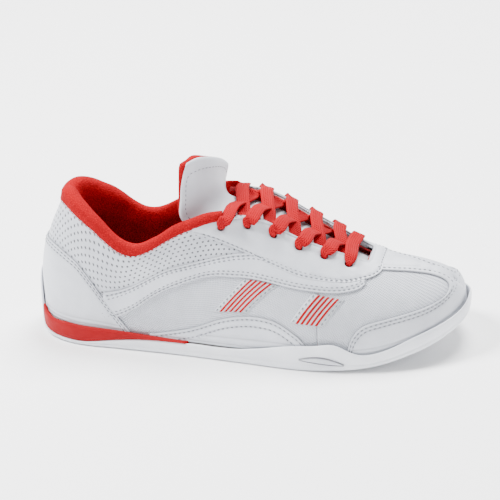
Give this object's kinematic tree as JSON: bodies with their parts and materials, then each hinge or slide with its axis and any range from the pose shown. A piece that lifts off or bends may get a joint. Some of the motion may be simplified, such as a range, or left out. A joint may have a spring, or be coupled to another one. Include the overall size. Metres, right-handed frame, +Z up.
{
  "type": "cheer shoe",
  "caption": "Low-cut lace-up cheer shoe for the right foot, with a padded collar, a cushioned tongue and a cupped rubber outsole with a coloured heel wedge.",
  "frame": {"origin": "centre of the box at the level where the sole rests", "axes": "+X from heel to toe, +Y towards the inner (medial) side of this right shoe, +Z up"},
  "size_m": [0.2683, 0.0946, 0.118],
  "materials": {
    "upper_leather": "satin fine-grain synthetic leather",
    "collar_leather": "satin perforated synthetic leather",
    "mesh_fabric": "fine woven mesh with a film face",
    "lining_fabric": "brushed knit lining",
    "lace_fabric": "flat ribbed weave",
    "padding": "open-cell foam",
    "stiffener": "thermoplastic sheet",
    "board": "stitched insole board",
    "sockliner": "cloth-faced foam",
    "outsole_rubber": "pale translucent rubber",
    "wedge_foam": "moulded foam rubber",
    "midsole_foam": "moulded foam",
    "window_insert": "clear moulded insert",
    "stripe_print": "synthetic leather with raised coloured lines",
    "aglet": "clear crimped sleeve"
  },
  "bodies": {
    "shoe": {"outsole": "outsole_rubber", "heel_wedge": "wedge_foam", "midsole": "midsole_foam", "sole_windows": "window_insert", "strobel_board": "board", "heel_counter": "stiffener", "toe_puff": "stiffener", "collar_foam": "padding", "collar_lining": "lining_fabric", "vamp_lining": "lining_fabric", "lateral_collar_panel": "collar_leather", "medial_collar_panel": "collar_leather", "lateral_side_panel": "mesh_fabric", "medial_side_panel": "mesh_fabric", "vamp": "mesh_fabric", "toe_guard": "upper_leather", "eyestay": "upper_leather", "lateral_eyestay_backer": "stiffener", "medial_eyestay_backer": "stiffener", "lateral_arch_band": "upper_leather", "medial_arch_band": "upper_leather", "lateral_arch_panel": "upper_leather", "medial_arch_panel": "upper_leather", "lateral_stripes": "stripe_print", "medial_stripes": "stripe_print", "heel_foxing": "upper_leather", "lace": "lace_fabric", "lace_aglets": "aglet"},
    "tongue": {"tongue_shell": "upper_leather", "tongue_foam": "padding", "tongue_lining": "lining_fabric"},
    "insert": {"sockliner": "sockliner"}
  },
  "joints": [
    {"name": "tongue_hinge", "type": "hinge", "parent": "shoe", "child": "tongue", "pos_m": [0.0855, 0.001, 0.0515], "axis": [0, -1, 0], "range_deg": [0, 6]},
    {"name": "insert_lift", "type": "hinge", "parent": "shoe", "child": "insert", "pos_m": [0.1235, 0.008, 0.0265], "axis": [0, 1, 0], "range_deg": [0, 5]}
  ]
}
